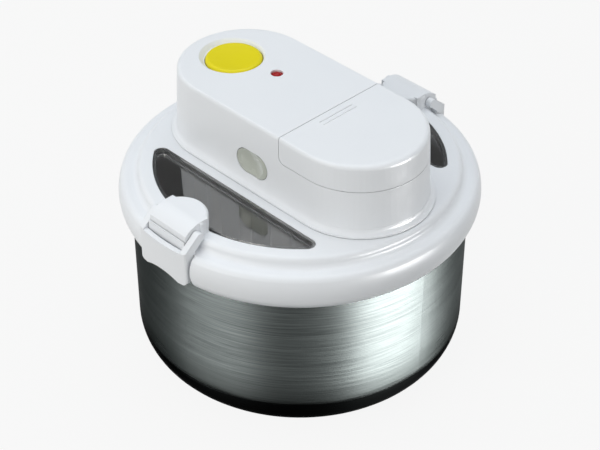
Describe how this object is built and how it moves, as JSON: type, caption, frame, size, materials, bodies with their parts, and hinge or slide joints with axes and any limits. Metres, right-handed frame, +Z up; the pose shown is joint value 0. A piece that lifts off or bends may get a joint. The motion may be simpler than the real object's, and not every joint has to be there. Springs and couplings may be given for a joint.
{
  "type": "ice cream maker",
  "caption": "Cordless ice cream maker: round steel bowl, clipped white lid with smoked windows, and a lift-off geared motor unit with a start button that turns a paddle.",
  "frame": {"origin": "on the table under the bowl's centre", "axes": "+Z up, +X towards the battery end of the motor unit, the clips lie on -Y (front) and +Y (rear)"},
  "size_m": [0.2, 0.2024, 0.1623],
  "materials": {
    "white_plastic": "white moulded plastic with a soft gloss",
    "bowl_steel": "stainless steel brushed round the bowl",
    "grey_rubber": "soft matt rubber",
    "smoked_clear": "smoked clear plastic",
    "bright_steel": "bright drawn steel",
    "natural_plastic": "unpainted slippery engineering plastic",
    "yellow_plastic": "yellow moulded plastic with a soft gloss",
    "red_lens": "clear red plastic",
    "grey_clear_plastic": "milky grey-green translucent plastic",
    "grey_plastic": "plain grey moulded plastic",
    "brass": "turned or stamped brass",
    "plated_steel": "zinc-plated drawn steel",
    "black_plastic": "plain black moulded plastic",
    "board_green": "lacquered circuit board",
    "dark_plastic": "plain dark grey moulded plastic",
    "cell_wrap": "printed shrink wrap with no print"
  },
  "bodies": {
    "bowl": {"bowl": "bowl_steel"},
    "lid": {"lid": "white_plastic", "lid_gasket": "grey_rubber", "front_window": "smoked_clear", "rear_window": "smoked_clear", "front_bracket": "white_plastic", "rear_bracket": "white_plastic", "front_hinge_pin": "bright_steel", "rear_hinge_pin": "bright_steel", "hub_bush": "natural_plastic", "shaft_seal": "grey_rubber"},
    "front_clip": {"front_hook": "white_plastic", "front_hook_spring": "bright_steel"},
    "rear_clip": {"rear_hook": "white_plastic", "rear_hook_spring": "bright_steel"},
    "paddle": {"paddle": "white_plastic", "drive_hub": "natural_plastic", "hub_ring": "bright_steel"},
    "motor_unit": {"motor_housing": "white_plastic", "base_plate": "white_plastic", "base_screws": "bright_steel", "gear_plate": "grey_plastic", "plate_screws": "bright_steel", "output_bush": "brass", "second_axle": "bright_steel", "first_axle": "bright_steel", "motor_can": "plated_steel", "motor_cap": "black_plastic", "motor_screws": "bright_steel", "circuit_board": "board_green", "board_screws": "bright_steel", "push_switch": "black_plastic", "battery_tray": "dark_plastic", "battery_contacts": "brass", "battery_springs": "bright_steel", "battery_1": "cell_wrap", "battery_2": "cell_wrap", "battery_3": "cell_wrap", "battery_4": "cell_wrap", "lamp": "red_lens", "lamp_lens": "red_lens", "button_spring": "bright_steel", "front_release_spring": "bright_steel", "rear_release_spring": "bright_steel"},
    "battery_cover": {"battery_cover": "white_plastic"},
    "start_button": {"start_button": "yellow_plastic"},
    "front_release": {"front_release_button": "grey_clear_plastic", "front_release_catch": "natural_plastic"},
    "rear_release": {"rear_release_button": "grey_clear_plastic", "rear_release_catch": "natural_plastic"},
    "output_drive": {"output_gear": "natural_plastic"},
    "second_wheel": {"second_gear": "natural_plastic"},
    "first_wheel": {"first_gear": "natural_plastic"},
    "motor_rotor": {"motor_shaft": "bright_steel", "motor_pinion": "brass"}
  },
  "joints": [
    {"name": "lid_lift", "type": "slide", "parent": "bowl", "child": "lid", "axis": [0, 0, 1], "range_m": [0, 0.12], "deforming": ["front_hook_spring", "rear_hook_spring"]},
    {"name": "front_clip_open", "type": "hinge", "parent": "lid", "child": "front_clip", "pos_m": [0, -0.089, 0.1226], "axis": [-1, 0, 0], "range_deg": [0, 100]},
    {"name": "rear_clip_open", "type": "hinge", "parent": "lid", "child": "rear_clip", "pos_m": [0, 0.089, 0.1226], "axis": [1, 0, 0], "range_deg": [0, 100]},
    {"name": "paddle_spin", "type": "hinge", "parent": "lid", "child": "paddle", "pos_m": [0, 0, 0.1], "axis": [0, 0, 1], "continuous": true},
    {"name": "motor_unit_lift", "type": "slide", "parent": "lid", "child": "motor_unit", "axis": [0, 0, 1], "range_m": [0, 0.07], "deforming": ["front_release_catch", "rear_release_catch"]},
    {"name": "battery_cover_slide", "type": "slide", "parent": "motor_unit", "child": "battery_cover", "axis": [1, 0, 0], "range_m": [0, 0.07]},
    {"name": "start_button_press", "type": "slide", "parent": "motor_unit", "child": "start_button", "axis": [0, 0, -1], "range_m": [0, 0.0015], "stiffness_N_per_m": 400, "springref_m": -0.002, "deforming": ["button_spring"]},
    {"name": "front_release_press", "type": "slide", "parent": "motor_unit", "child": "front_release", "axis": [0, 1, 0], "range_m": [0, 0.002], "stiffness_N_per_m": 400, "springref_m": -0.002, "deforming": ["front_release_spring"]},
    {"name": "rear_release_press", "type": "slide", "parent": "motor_unit", "child": "rear_release", "axis": [0, -1, 0], "range_m": [0, 0.002], "stiffness_N_per_m": 400, "springref_m": -0.002, "deforming": ["rear_release_spring"]},
    {"name": "output_spin", "type": "hinge", "parent": "motor_unit", "child": "output_drive", "pos_m": [0, 0, 0.13], "axis": [0, 0, 1], "continuous": true},
    {"name": "second_wheel_spin", "type": "hinge", "parent": "motor_unit", "child": "second_wheel", "pos_m": [-0.01798, 0.00877, 0.13], "axis": [0, 0, 1], "continuous": true},
    {"name": "first_wheel_spin", "type": "hinge", "parent": "motor_unit", "child": "first_wheel", "pos_m": [-0.03595, 0, 0.13], "axis": [0, 0, 1], "continuous": true},
    {"name": "motor_spin", "type": "hinge", "parent": "motor_unit", "child": "motor_rotor", "pos_m": [-0.03595, -0.02, 0.13], "axis": [0, 0, 1], "continuous": true}
  ],
  "couplings": [
    {"joint": "output_spin", "follows": "paddle_spin", "ratio": 1},
    {"joint": "second_wheel_spin", "follows": "paddle_spin", "ratio": -4},
    {"joint": "first_wheel_spin", "follows": "paddle_spin", "ratio": 16},
    {"joint": "motor_spin", "follows": "paddle_spin", "ratio": -64}
  ]
}
